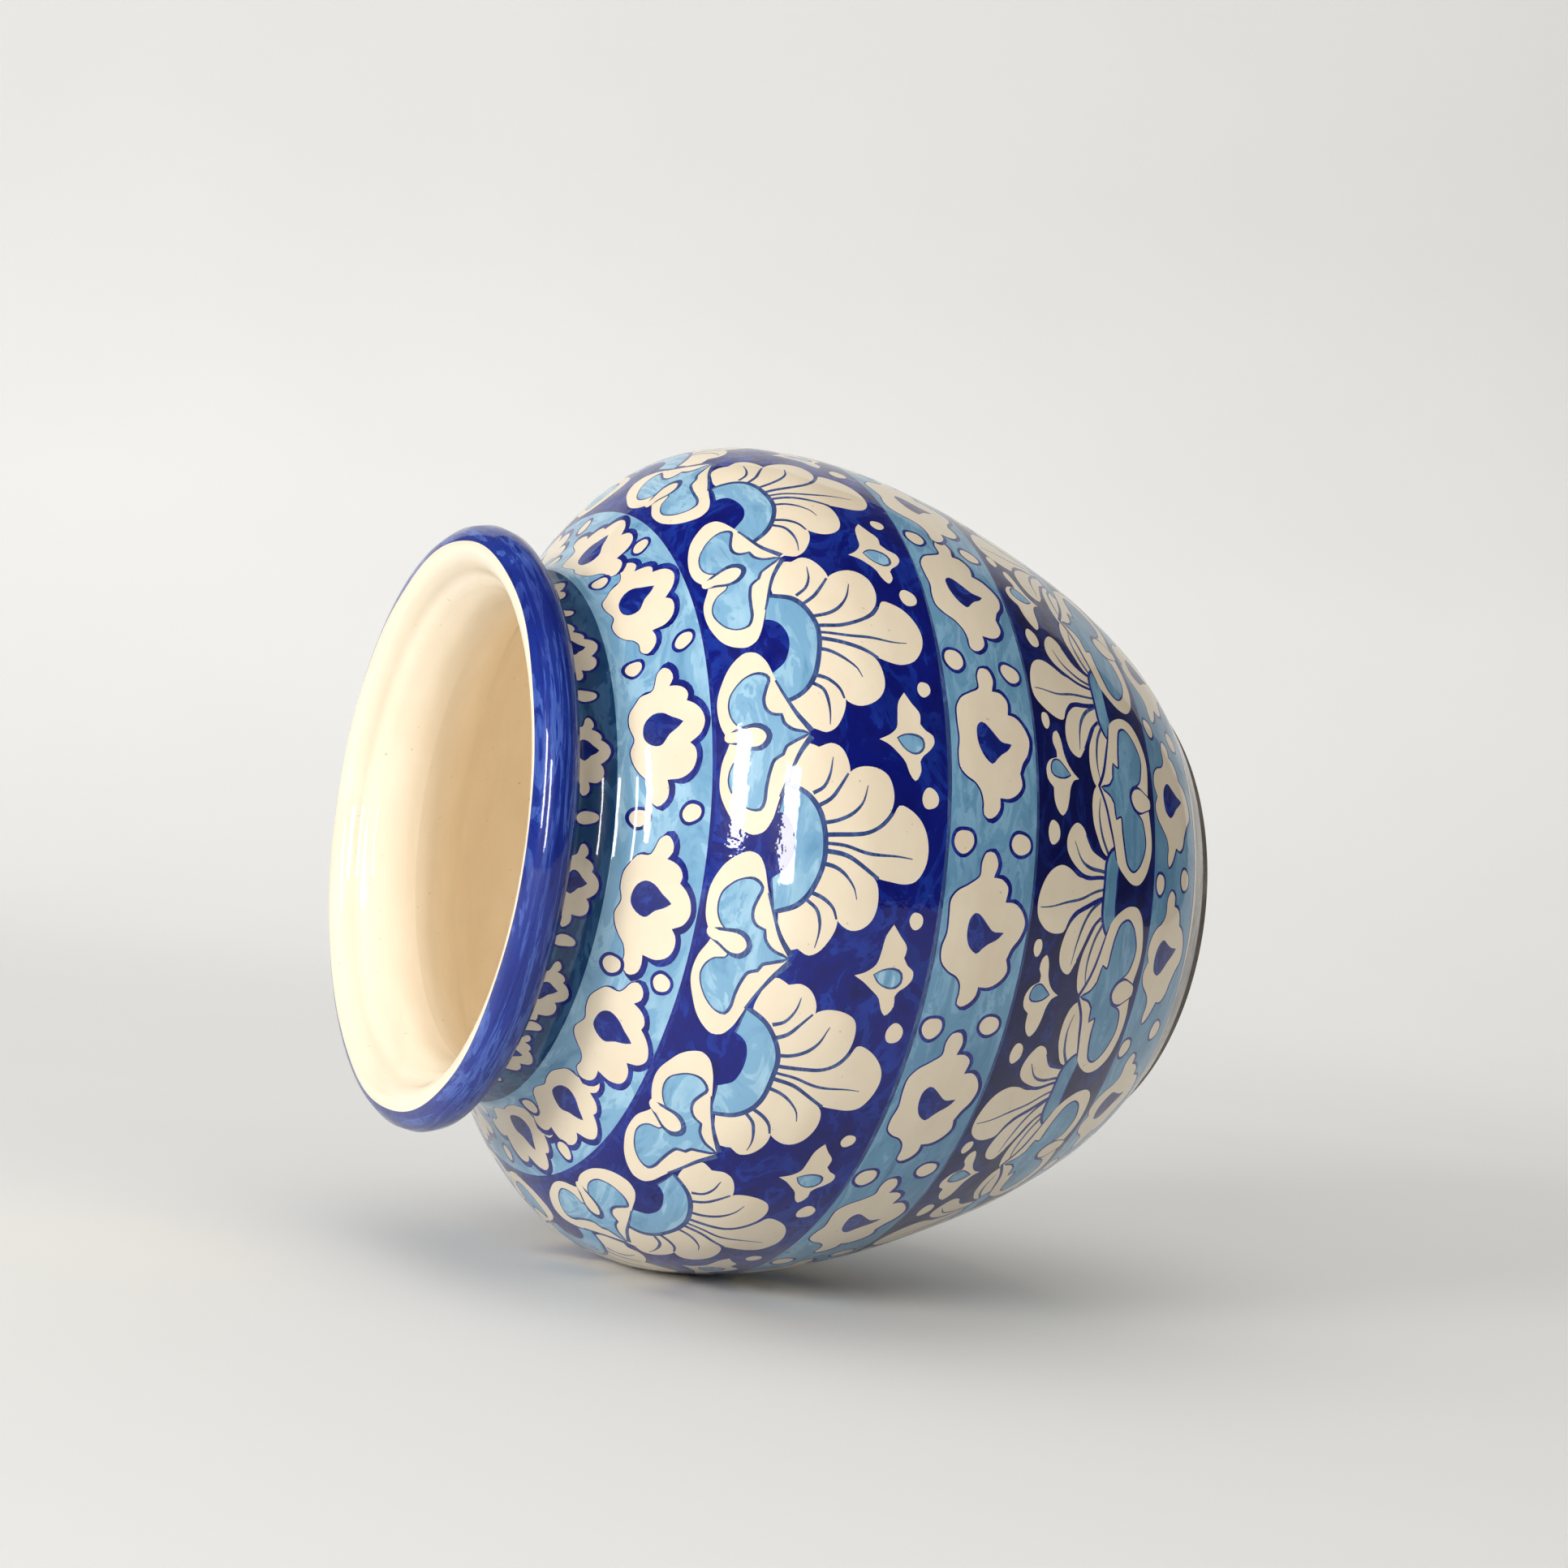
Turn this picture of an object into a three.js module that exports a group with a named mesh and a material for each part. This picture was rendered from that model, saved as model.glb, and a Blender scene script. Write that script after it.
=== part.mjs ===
// Talavera pottery vase, millimetres, +Z up along the axis of the pot.
// The origin is the centre of the face the foot ring stands on.
//
// The pot is one hollow shell, 200 mm across the belly and 180 mm tall. It is built as the
// potter raises it: a foot ring, a floor, and the wall in stacked courses up to a rolled lip.
// Each course is a closed ring of clay. Where two courses are luted together the joint is a
// cone that climbs inwards, with a hairline gap left between the two faces.

import * as THREE from "three";

const SEGMENTS = 64;          // flats round the pot
const JOINT_GAP = 0.34;       // height of the gap left in every joint
const JOINT_CLIMB = 1.6;      // how far a wall joint rises from its outer to its inner edge

const FOOT_HEIGHT = 3.2;      // the unglazed ring the pot stands on
const FOOT_OUTER = 61.9;      // radius where the ring meets the wall
const FOOT_TREAD = [53.8, 59.4]; // inner and outer radius of the flat tread
const FOOT_INNER = 52.9;

const FLOOR_RADIUS = 49.5;
const FLOOR_UNDERSIDE = 4.9;  // the foot recess is this deep
const FLOOR_TOP = 10.6;

const BELLY_JOINT = 73.8;
const SHOULDER_JOINT = 144.8;
const NECK_JOINT = 160.0;
const LIP_JOINT = 170.6;

// Outer and inner radius of the wall against height: [height, radius].
const OUTER_WALL = [
  [3.5, 62.5], [12, 69.7], [30, 80.3], [52, 89.2], [74, 95.9], [94, 99.5], [108, 100],
  [120, 98.7], [132, 93.4], [142, 83.7], [150, 72.1], [156, 64.6], [159.2, 63.2],
];
const INNER_WALL = [
  [12.4, 54.5], [16, 62], [22, 68.4], [30, 74.2], [52, 83.2], [74, 89.9], [94, 93.6],
  [108, 94.1], [120, 92.2], [132, 85.4], [142, 74], [150, 62], [156, 56.6], [163, 54.4],
  [168, 54.9], [173, 57.4], [177.4, 61],
];
// The groove of the neck, between the ridge at the shoulder and the underside of the lip.
const OUTER_NECK = [[160, 62.3], [162.4, 60.2], [165.6, 59.4], [168.6, 60.6], [171.2, 64.2]];

const LIP_CENTRE = [65.4, 175.2]; // radius and height of the middle of the rolled lip
const LIP_HALF = [5.2, 5.2];      // its half width and half height

// Radius at a height: a smooth curve through the listed points.
function radiusAt(points, height) {
  let i = 0;
  while (i < points.length - 2 && height > points[i + 1][0]) i += 1;
  const slope = (a, b) => (b[1] - a[1]) / (b[0] - a[0]);
  const tangent = (k) => {
    if (k === 0) return slope(points[0], points[1]);
    if (k === points.length - 1) return slope(points[k - 1], points[k]);
    const before = points[k][0] - points[k - 1][0];
    const after = points[k + 1][0] - points[k][0];
    const rise = slope(points[k - 1], points[k]) * after + slope(points[k], points[k + 1]) * before;
    return rise / (before + after);
  };
  const [h0, r0] = points[i];
  const [h1, r1] = points[i + 1];
  const span = h1 - h0;
  const t = (height - h0) / span;
  const startWeight = 2 * t ** 3 - 3 * t ** 2 + 1;
  const endWeight = 3 * t ** 2 - 2 * t ** 3;
  const startPull = (t ** 3 - 2 * t ** 2 + t) * span * tangent(i);
  const endPull = (t ** 3 - t ** 2) * span * tangent(i + 1);
  return startWeight * r0 + endWeight * r1 + startPull + endPull;
}

// Profile points [radius, height] along a wall curve from one height to another.
function along(points, from, to, steps) {
  const run = [];
  for (let k = 0; k <= steps; k += 1) {
    const height = from + ((to - from) * k) / steps;
    run.push([radiusAt(points, height), height]);
  }
  return run;
}

// Points on the oval roll of the lip, between two angles in degrees from straight outwards.
function lipArc(from, to, steps) {
  const run = [];
  for (let k = 0; k <= steps; k += 1) {
    const angle = THREE.MathUtils.degToRad(from + ((to - from) * k) / steps);
    const radius = LIP_CENTRE[0] + LIP_HALF[0] * Math.cos(angle);
    run.push([radius, LIP_CENTRE[1] + LIP_HALF[1] * Math.sin(angle)]);
  }
  return run;
}

const glazed = (color) => new THREE.MeshStandardMaterial({ color, roughness: 0.16, metalness: 0 });
const paintedGlaze = glazed(0x8a9ac4); // cream, sky blue and cobalt seen together
const cobaltGlaze = glazed(0x2a3b9c);
const creamGlaze = glazed(0xe9dfcf);
const clay = new THREE.MeshStandardMaterial({ color: 0x8d7f72, roughness: 0.88, metalness: 0 });

// A closed body of revolution. The profile runs anticlockwise in the radius-height plane.
function turned(name, profile, material) {
  const closed = profile.map(([radius, height]) => new THREE.Vector2(radius, height));
  if (profile[0][0] > 0) closed.push(closed[0].clone());
  const geometry = new THREE.LatheGeometry(closed, SEGMENTS);
  geometry.rotateX(Math.PI / 2);
  const mesh = new THREE.Mesh(geometry, material);
  mesh.name = name;
  return mesh;
}

const vase = new THREE.Group();
vase.name = "talavera_vase";

vase.add(turned("foot_ring", [
  [FOOT_TREAD[0], 0],
  [FOOT_TREAD[1], 0],
  [FOOT_TREAD[1] + 0.9, 0.8],
  [FOOT_OUTER, FOOT_HEIGHT],
  [FOOT_INNER, FOOT_HEIGHT],
  [FOOT_INNER, 0.8],
], clay));

vase.add(turned("base_floor", [
  [0, FLOOR_UNDERSIDE],
  [FLOOR_RADIUS - 1, FLOOR_UNDERSIDE],
  [FLOOR_RADIUS + 0.8, FLOOR_TOP],
  [0, FLOOR_TOP - 0.4],
], creamGlaze));

// The lowest course wraps round the floor and stands on the foot ring.
const footTop = FOOT_HEIGHT + JOINT_GAP;
vase.add(turned("lower_wall", [
  [FLOOR_RADIUS - 0.6, footTop],
  ...along(OUTER_WALL, footTop, BELLY_JOINT - JOINT_GAP / 2, 8),
  ...along(INNER_WALL, BELLY_JOINT + JOINT_CLIMB - JOINT_GAP / 2, 12.4, 8),
  [FLOOR_RADIUS + 1.2, FLOOR_TOP + 0.1],
  [FLOOR_RADIUS - 0.6, FLOOR_UNDERSIDE - 0.2],
], paintedGlaze));

function course(name, outerRun, innerRun, material = paintedGlaze) {
  vase.add(turned(name, [...outerRun, ...innerRun], material));
}

course(
  "belly_wall",
  along(OUTER_WALL, BELLY_JOINT + JOINT_GAP / 2, SHOULDER_JOINT - JOINT_GAP / 2, 10),
  along(INNER_WALL, SHOULDER_JOINT + JOINT_CLIMB - JOINT_GAP / 2,
    BELLY_JOINT + JOINT_CLIMB + JOINT_GAP / 2, 8),
);

course(
  "shoulder_wall",
  [
    ...along(OUTER_WALL, SHOULDER_JOINT + JOINT_GAP / 2, 159.2, 5),
    [62.7, NECK_JOINT - JOINT_GAP / 2],
  ],
  along(INNER_WALL, NECK_JOINT + JOINT_CLIMB - JOINT_GAP / 2,
    SHOULDER_JOINT + JOINT_CLIMB + JOINT_GAP / 2, 4),
);

course(
  "neck_collar",
  along(OUTER_NECK, NECK_JOINT + JOINT_GAP / 2, LIP_JOINT - JOINT_GAP / 2, 5),
  along(INNER_WALL, LIP_JOINT + JOINT_CLIMB - JOINT_GAP / 2,
    NECK_JOINT + JOINT_CLIMB + JOINT_GAP / 2, 3),
);

course(
  "lip_roll",
  [
    ...along(OUTER_NECK, LIP_JOINT + JOINT_GAP / 2, 171.2, 1),
    ...lipArc(-35, 170, 10),
  ],
  along(INNER_WALL, 173.4, LIP_JOINT + JOINT_CLIMB + JOINT_GAP / 2, 1),
  cobaltGlaze,
);

export default vase;
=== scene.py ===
"""Hand-painted talavera vase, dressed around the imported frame.

The frame holds the pot's courses. Each one is replaced by a closed ring of clay whose outer face is
meshed along the brushwork, so every petal, scroll and dot is made of real faces in its own glaze.
Sizes are millimetres in the pot's own frame until mesh_piece() turns them into metres.
A place on the painted wall is (angle round the pot, climb), where climb is the length measured
up the outer wall from just above the foot.
"""
import math
import random

import bpy
import numpy as np
from mathutils import Matrix, Vector
from mathutils.geometry import delaunay_2d_cdt


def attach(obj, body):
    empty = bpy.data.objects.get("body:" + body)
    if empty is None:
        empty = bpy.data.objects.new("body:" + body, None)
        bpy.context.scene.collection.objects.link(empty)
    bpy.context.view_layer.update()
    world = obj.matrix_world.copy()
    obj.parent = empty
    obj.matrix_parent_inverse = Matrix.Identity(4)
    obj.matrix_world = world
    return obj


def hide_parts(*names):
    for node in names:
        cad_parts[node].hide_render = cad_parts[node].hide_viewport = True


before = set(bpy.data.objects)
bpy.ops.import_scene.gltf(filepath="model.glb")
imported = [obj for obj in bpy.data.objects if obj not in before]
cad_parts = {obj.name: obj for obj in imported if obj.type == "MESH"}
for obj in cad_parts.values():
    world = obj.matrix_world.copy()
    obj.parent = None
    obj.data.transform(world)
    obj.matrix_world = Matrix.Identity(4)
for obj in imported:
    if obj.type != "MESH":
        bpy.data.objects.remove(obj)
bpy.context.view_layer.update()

MM = 0.001
AROUND = 240            # vertices round every course
LATTICE = 2.6           # spacing of the plain mesh between brush strokes
BRUSH_STEP = 0.9        # spacing of points along a painted edge
EDGE_MARGIN = 0.3       # painted shapes keep this far from a course's ends
JOINT_INSET = 0.17      # how far a luted joint opens inside the wall
TURN = 2 * math.pi
RING = np.arange(AROUND) * TURN / AROUND    # the angles of those vertices
PICTURED_SIDE = -50     # degrees round the pot from +X: the side that motif angles count from

# --- The pot's profile: [height, radius], the same curves that the frame was turned from ----------

OUTER_WALL = [
    [3.5, 62.5], [12, 69.7], [30, 80.3], [52, 89.2], [74, 95.9], [94, 99.5], [108, 100],
    [120, 98.7], [132, 93.4], [142, 83.7], [150, 72.1], [156, 64.6], [159.2, 63.2],
]
INNER_FOOT = 12.4       # height where the inner wall meets the floor
INNER_WALL = [
    [INNER_FOOT, 54.5], [16, 62], [22, 68.4], [30, 74.2], [52, 83.2], [74, 89.9], [94, 93.6],
    [108, 94.1], [120, 92.2], [132, 85.4], [142, 74], [150, 62], [156, 56.6], [163, 54.4],
    [168, 54.9], [173, 57.4], [177.4, 61],
]
OUTER_NECK = [[160, 62.3], [162.4, 60.2], [165.6, 59.4], [168.6, 60.6], [171.2, 64.2]]
FOOT_HEIGHT = 3.2
FOOT_TOP = 3.54         # the lowest course starts a hairline above the foot ring
FOOT_TREAD = (53.8, 59.4)
FOOT_INNER = 52.9
FLOOR_RADIUS = 49.5
FLOOR_UNDERSIDE = 4.9
FLOOR_TOP = 10.6
BELLY_JOINT = 73.8
SHOULDER_JOINT = 144.8
RIDGE = (62.7, 159.83)  # radius and height of the crisp edge where the neck begins
NECK_JOINT = 160.0
LIP_JOINT = 170.6
JOINT_CLIMB = 1.6
LIP_CENTRE = (65.4, 175.2)
LIP_HALF = 5.2
LIP_ROLL = (-52, 170)   # degrees that the roll turns through, from its underside to the inside
INNER_TOP = 173.4       # height where the inner wall takes over from the roll
LIP_CREST = 84          # degrees, where the cobalt ends and the cream begins
POT_MIDDLE = 0.09       # about half the pot's height, in metres


def cubic(t, start, end, leaving, arriving):
    """The curve from start to end at t (0 to 1), with its slopes as it leaves and arrives."""
    value = (2 * t**3 - 3 * t**2 + 1) * start + (3 * t**2 - 2 * t**3) * end
    return value + (t**3 - 2 * t**2 + t) * leaving + (t**3 - t**2) * arriving


def radius_at(points, height):
    """Radius at a height on the smooth curve through the listed points."""
    last = len(points) - 1
    i = 0
    while i < last - 1 and height > points[i + 1][0]:
        i += 1

    def slope(k):
        return (points[k + 1][1] - points[k][1]) / (points[k + 1][0] - points[k][0])

    def tangent(k):
        if k in (0, last):
            return slope(min(k, last - 1))
        before = points[k][0] - points[k - 1][0]
        after = points[k + 1][0] - points[k][0]
        return (slope(k - 1) * after + slope(k) * before) / (before + after)

    span = points[i + 1][0] - points[i][0]
    t = (height - points[i][0]) / span
    return cubic(t, points[i][1], points[i + 1][1], tangent(i) * span, tangent(i + 1) * span)


def along(points, start, end, step=0.5):
    """[radius, height] points up (or down) a wall curve."""
    count = max(2, round(abs(end - start) / step))
    return [[radius_at(points, z), z] for z in np.linspace(start, end, count + 1)]


def arc(centre, radius, start, end, count):
    """[radius, height] points on a circle in the profile, between two angles in degrees."""
    turned = np.radians(np.linspace(start, end, count + 1))
    return [[centre[0] + radius * math.cos(a), centre[1] + radius * math.sin(a)] for a in turned]


class Run:
    """A stretch of profile with its climb, its outward normal and a conformal coordinate."""

    def __init__(self, profile, climb_start=0.0):
        self.points = np.array(profile, float)
        radius = self.points[:, 0]
        step = np.hypot(*np.diff(self.points, axis=0).T)
        self.climb = climb_start + np.concatenate(([0], np.cumsum(step)))
        self.conformal = np.concatenate(([0], np.cumsum(2 * step / (radius[1:] + radius[:-1]))))
        slope = np.gradient(self.points, self.climb, axis=0)
        self.normal = np.stack([slope[:, 1], -slope[:, 0]], axis=1)
        self.normal /= np.linalg.norm(self.normal, axis=1, keepdims=True)

    def at(self, climb, values):
        return np.stack([np.interp(climb, self.climb, values[:, k]) for k in (0, 1)], axis=1)

    def to_plane(self, angle, climb):
        """The wall laid out flat: a map that keeps shapes, with the pot's axis at the middle."""
        reach = np.exp(np.interp(climb, self.climb, self.conformal))
        return np.stack([reach * np.cos(angle), reach * np.sin(angle)], axis=-1)

    def from_plane(self, flat):
        reach = np.log(np.hypot(flat[:, 0], flat[:, 1]))
        return np.arctan2(flat[:, 1], flat[:, 0]), np.interp(reach, self.conformal, self.climb)


# --- Brushwork: outlines are (along the band, climb) in millimetres about a motif's middle ---------


def smooth(points, closed, step=BRUSH_STEP):
    """A flowing line through the points. A third value marks a point that stays a sharp corner."""
    place = np.array([p[:2] for p in points], float)
    sharp = [len(p) > 2 for p in points]
    count = len(points)
    spans = count if closed else count - 1
    chord = [np.linalg.norm(place[(k + 1) % count] - place[k]) for k in range(spans)]
    slope = [(place[(k + 1) % count] - place[k]) / chord[k] for k in range(spans)]

    def tangent(k, leaving):
        before, after = (k - 1) % count, k % count
        if not closed and k == 0:
            return slope[0]
        if not closed and k == count - 1:
            return slope[-1]
        if sharp[after]:
            return slope[after] if leaving else slope[before]
        total = chord[before] + chord[after]
        return (slope[before] * chord[after] + slope[after] * chord[before]) / total

    line = []
    for k in range(spans):
        ahead = (k + 1) % count
        leaving = tangent(k, True) * chord[k]
        arriving = tangent(ahead, False) * chord[k]
        for t in np.arange(0, 1 - 1e-9, 1 / max(2, round(chord[k] / step))):
            line.append(cubic(t, place[k], place[ahead], leaving, arriving))
    if not closed:
        line.append(place[-1])
    return np.array(line)


def sideways(line, closed):
    """Unit normals, to the right of the way the line runs."""
    if closed:
        ahead = np.roll(line, -1, axis=0) - np.roll(line, 1, axis=0)
    else:
        ahead = np.gradient(line, axis=0)
    ahead /= np.maximum(np.linalg.norm(ahead, axis=1, keepdims=True), 1e-9)
    return np.stack([ahead[:, 1], -ahead[:, 0]], axis=1)


def outward(line):
    """Unit normals of a closed line, pointing out of it."""
    x, y = line.T
    area = np.sum(x * np.roll(y, -1) - np.roll(x, -1) * y)
    return sideways(line, True) * (1 if area > 0 else -1)


def stroke(points, widths):
    """The shape of one brush stroke: widths at its start, middle and end."""
    line = smooth(points, closed=False)
    half = np.interp(np.linspace(0, 1, len(line)), [0, 0.5, 1], widths)[:, None] / 2
    side = sideways(line, False) * half
    return np.concatenate([line + side, (line - side)[::-1]])


def scaled(points, factor):
    """An outline made wider or narrower along the band."""
    return [(x * factor, *rest) for x, *rest in points]


def mirrored(points):
    return scaled(points, -1)


class Motif:
    """Shapes in painting order, to be stamped round a band."""

    def __init__(self):
        self.shapes = []

    def fill(self, paint, points, flip=False):
        self.shapes.append((paint, smooth(mirrored(points) if flip else points, closed=True)))

    def outlined(self, paint, points, above, below, edge="line"):
        """A filled shape with a drawn edge, of one width above and another on the foot's side."""
        shape = smooth(points, closed=True)
        out = outward(shape)
        low = np.clip(0.5 - out[:, 1:], 0, 1)
        low = low * low * (3 - 2 * low)
        self.shapes.append((edge, shape + out * (above + (below - above) * low)))
        self.shapes.append((paint, shape))

    def line(self, paint, points, widths, flip=False):
        self.shapes.append((paint, stroke(mirrored(points) if flip else points, widths)))

    def oval(self, paint, x, climb, half_width, half_height, edge_width=0):
        turned = np.radians(np.arange(0, 360, 24))
        wobble = 1 + 0.06 * np.sin(3 * turned + x)
        ring = np.stack([np.cos(turned) * wobble, np.sin(turned)], axis=1)
        coats = [("ink", edge_width), (paint, 0)] if edge_width else [(paint, 0)]
        for colour, wider in coats:
            outline = ring * (half_width + wider, half_height + wider) + (x, climb)
            self.shapes.append((colour, smooth(outline, closed=True, step=0.6)))


def stamp(motif, angle, hand, band_radius, pivot, looseness):
    """The motif's shapes as (angle, climb), each copy a little different, as a painter's are.

    hand is the seeded source of the differences. The copy is turned and stretched about its middle,
    at the climb pivot, where the wall's radius is band_radius.
    """
    turn = math.radians(hand.uniform(-1.5, 1.5)) * looseness
    grow = 1 + np.array([hand.uniform(-0.03, 0.03), hand.uniform(-0.025, 0.025)]) * looseness
    phase = [hand.uniform(0, TURN) for _ in range(4)]
    placed = []
    for paint, shape in motif.shapes:
        local = (shape - (0, pivot)) * grow
        x = local[:, 0] * math.cos(turn) - local[:, 1] * math.sin(turn)
        y = local[:, 0] * math.sin(turn) + local[:, 1] * math.cos(turn)
        sway_x = np.sin(y * 0.55 + phase[0]) + np.sin(x * 0.35 + phase[1])
        sway_y = np.sin(x * 0.5 + phase[2]) + np.sin(y * 0.4 + phase[3])
        placed.append((paint, angle + (x + 0.16 * looseness * sway_x) / band_radius,
                       y + pivot + 0.14 * looseness * sway_y))
    return placed


def spread(seen, count):
    """The angles read off the pictured side, and even steps round the back up to count."""
    rest = count - len(seen)
    step = (seen[0] + 360 - seen[-1]) / (rest + 1)
    everywhere = seen + [seen[-1] + step * (k + 1) for k in range(rest)]
    return [math.radians(a + PICTURED_SIDE) for a in everywhere]


def between(angles):
    """The angle halfway from each motif to the next one round."""
    ahead = angles[1:] + [angles[0] + TURN]
    return [(a + b) / 2 for a, b in zip(angles, ahead)]


def band_edge(paint, climb, hand, sway=0.25):
    """Everything below a hand-drawn line round the pot, as one shape."""
    around = np.linspace(0, TURN, 2 * AROUND, endpoint=False)
    height = np.full(len(around), float(climb))
    for wave in (2, 3, 7, 12):
        height += sway / math.sqrt(wave) * np.sin(wave * around + hand.uniform(0, TURN))
    return paint, around, height


# --- The motifs --------------------------------------------------------------------------------


def shoulder_palmette():
    """The fan of five petals under a half ring, in the widest cobalt band."""
    motif = Motif()
    outer_petal = [
        (-15, 140.6), (-20, 140), (-24, 138.8), (-24.7, 137), (-23.8, 135, 1), (-24.8, 132.5),
        (-24, 130.8), (-21.5, 129), (-18, 128), (-15, 128.3), (-12.5, 129.5), (-10.4, 133), (-9, 138),
    ]
    left_petal = [
        (-9, 136), (-11, 131), (-12.7, 129.2), (-15, 128.2), (-16.6, 124.5), (-16, 122.5),
        (-14.5, 120.8), (-12, 119.7), (-9.5, 119.5), (-6.5, 120.3), (-4.2, 123), (-2.2, 128), (-1, 134),
    ]
    middle_petal = [
        (-1.4, 134), (-2.5, 126.8), (-3.8, 123.5), (-5.3, 120.8), (-6, 117.5), (-6, 114),
        (-5, 111.3), (-2.5, 109.5), (0.5, 108.8), (4, 109.3), (7, 111.2), (8.8, 114), (9.3, 117),
        (7.2, 118.2), (5.2, 119.6), (3.5, 122), (2.3, 126), (2, 134),
    ]
    right_petal = [
        (2, 135), (2.3, 128), (3.4, 124), (5.3, 120.8), (8, 118.8), (12, 118.3), (15, 119.5),
        (16.4, 122), (16.4, 125), (15.3, 127.5), (13, 129.5), (10.5, 131.5), (8, 138),
    ]
    motif.fill("cream", scaled(outer_petal, 0.92))
    motif.fill("cream", scaled(outer_petal, 0.85), flip=True)
    motif.fill("cream", left_petal)
    motif.fill("cream", right_petal)
    motif.fill("cream", middle_petal)
    for points, widths in (
        ([(-9.5, 135), (-10.8, 131.6), (-12.8, 129.3), (-15, 128.3)], (0.9, 0.8, 0.5)),
        ([(-11.5, 135), (-13, 133), (-15.5, 131.9), (-19, 131.4), (-21.2, 131.6)], (0.8, 0.7, 0.2)),
        ([(-3.7, 133.4), (-4.5, 130), (-6.5, 126.5), (-8, 125), (-10, 124.2)], (0.9, 0.7, 0.2)),
        ([(-1.3, 132.8), (-2.3, 127), (-4, 123), (-5.6, 120.2)], (1.0, 0.9, 0.7)),
        ([(0.2, 132.8), (-0.2, 128), (-0.8, 124), (-1.1, 119), (-1, 112.8)], (0.7, 0.7, 0.2)),
        ([(1.9, 132.8), (2.3, 127), (3.6, 122.6), (5.3, 120), (7.6, 118.3)], (1.0, 0.9, 0.7)),
        ([(4.5, 133.4), (5, 130.5), (6.5, 127.5), (9, 125.3), (12.8, 124)], (0.9, 0.8, 0.2)),
        ([(8, 135), (9.6, 132.4), (12.2, 130.2), (14.6, 128.4)], (0.9, 0.8, 0.5)),
        ([(10.6, 136), (12, 133.8), (14.6, 132.4), (18, 131.9)], (0.8, 0.6, 0.2)),
    ):
        motif.line("line", points, widths)
    half_ring = [
        (-15.2, 141.6, 1), (-13, 137.6), (-10, 135.2), (-6, 133.7), (-1, 133.2), (3, 133.5), (7, 135),
        (9.5, 137), (11.9, 141.8, 1), (0, 143.5),
    ]
    motif.outlined("sky", half_ring, 0.45, 1.1)
    motif.fill("cobalt", [
        (-8.4, 143.6), (-7.2, 141.6), (-6, 140.2), (-3.5, 139.2), (-0.5, 138.9), (2.5, 139.4),
        (4.8, 140.5), (6.2, 143), (4, 147.5), (0, 149.5), (-5, 147.5),
    ])
    return motif


def shoulder_scrolls():
    """Two cream scrolls that meet between the palmettes, with sky blue inside them."""
    motif = Motif()
    narrower = 0.89         # so that cobalt shows between the scrolls and the fans
    scroll = [
        (3, 152.6), (-1.5, 154.4), (-5.5, 156), (-9.5, 156.5), (-13.5, 156.2), (-17.5, 155),
        (-21.5, 153), (-24, 150.5), (-25, 148.3), (-24.2, 146.3), (-21.5, 144.7), (-17.5, 143.5),
        (-13.5, 142.4), (-9.5, 141), (-5.5, 139.3), (-2.4, 137.2), (-0.4, 136.4, 1), (1.4, 139.5),
    ]
    seam = [(-13.4, 142.9), (-8.5, 140.9), (-5, 139.2), (-0.6, 136)]
    for flip in (False, True):
        motif.fill("cream", scaled(scroll, narrower), flip)
    for flip in (False, True):
        motif.line("line", seam, (0.5, 0.8, 1.3), flip)
    left = [
        (-4, 150), (-4.8, 152), (-7, 153.6), (-10, 154.2), (-13.5, 153.3), (-16.5, 151.5),
        (-18.3, 149), (-18.1, 147.3), (-16.5, 146.6), (-12.5, 146.2), (-8.5, 145.6), (-5.5, 144.5),
        (-4.3, 142.6, 1), (-2.5, 141.8), (-1.6, 140.3), (0, 136.9, 1),
    ]
    right = [
        (1.2, 140.4), (3.5, 142.3), (5.5, 142.7, 1), (6, 144.6), (8, 146), (10.5, 146.2),
        (13.5, 145.4), (16, 144.7), (17.6, 146.6), (17, 149.8), (15.5, 151.4), (13.5, 152.8),
        (10.5, 153.5), (7.5, 153.2), (5, 152), (3.5, 150.5),
    ]
    motif.outlined("sky", scaled(left + right, narrower), 0.4, 0.75)
    motif.outlined("cream", [
        (1.4, 154.4), (-0.5, 151.5), (-1.8, 149), (-1.7, 147.3), (-0.5, 146), (0.5, 145.7),
        (2, 146.5), (2.9, 148.5), (2.8, 150.5), (2.2, 153.2),
    ], 0.7, 1.3)
    motif.fill("cream", [(0.9, 155), (-0.1, 152.4), (1.4, 150.8), (2.6, 152.6), (2.4, 155)])
    return motif


def shoulder_bud():
    """The small star below each pair of scrolls, and the dots beside it."""
    motif = Motif()
    motif.fill("cream", [
        (-0.6, 121.6, 1), (0.5, 119.5), (2.5, 117.6), (5, 117.1), (8.5, 116.4), (10.6, 115, 1),
        (8.5, 113.3), (6, 111.3), (4, 111.6, 1), (2.5, 110.3), (1.5, 108.6), (0, 108.3), (-2, 109.5),
        (-3.5, 111.3), (-4.5, 111.9, 1), (-6.5, 111.7), (-8.5, 113.4), (-7, 114.7), (-5, 115.5),
        (-3, 117.6), (-1.7, 119.3),
    ])
    motif.outlined("sky", [
        (0.2, 117.4, 1), (1.1, 115.8), (1.2, 113.2), (0.4, 111.6), (-1.2, 111.3), (-2.3, 112.3),
        (-2.5, 114), (-1.5, 116),
    ], 0.35, 0.6)
    motif.oval("cream", -12, 109.6, 2.2, 2.1)
    motif.oval("cream", 11.6, 109.8, 1.7, 1.7)
    return motif


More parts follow.
